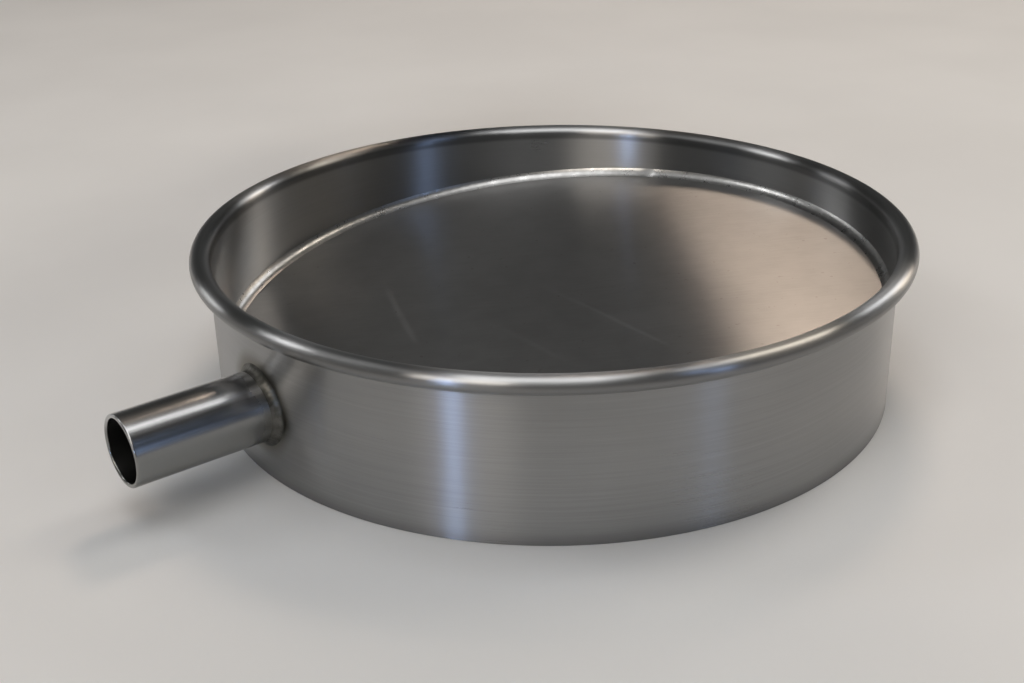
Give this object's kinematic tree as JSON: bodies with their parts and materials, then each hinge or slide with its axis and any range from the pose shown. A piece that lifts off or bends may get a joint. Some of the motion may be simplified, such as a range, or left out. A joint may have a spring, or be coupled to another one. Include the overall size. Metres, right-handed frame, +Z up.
{
  "type": "receiver pan with drain spout",
  "caption": "Shallow round sheet-steel receiver pan with a rolled rim, a floor that slopes to one side and a short drain tube through the wall at the low side, for wet sieving.",
  "frame": {"origin": "on the pan's axis, in the plane of the base edge", "axes": "+Z up along the pan's axis, -X along the spout, so the floor rises towards +X"},
  "size_m": [0.2507, 0.2159, 0.049],
  "materials": {
    "shell_steel": "satin, brushed round the wall, with a polished rim",
    "floor_steel": "cold-rolled satin",
    "solder": "bright, rippled",
    "spout_steel": "drawn tube, polished",
    "weld_metal": "as welded, slightly heat tinted"
  },
  "bodies": {
    "root": {"pan_shell": "shell_steel", "sloped_floor": "floor_steel", "floor_seam": "solder", "drain_spout": "spout_steel", "spout_weld": "weld_metal"}
  },
  "joints": []
}
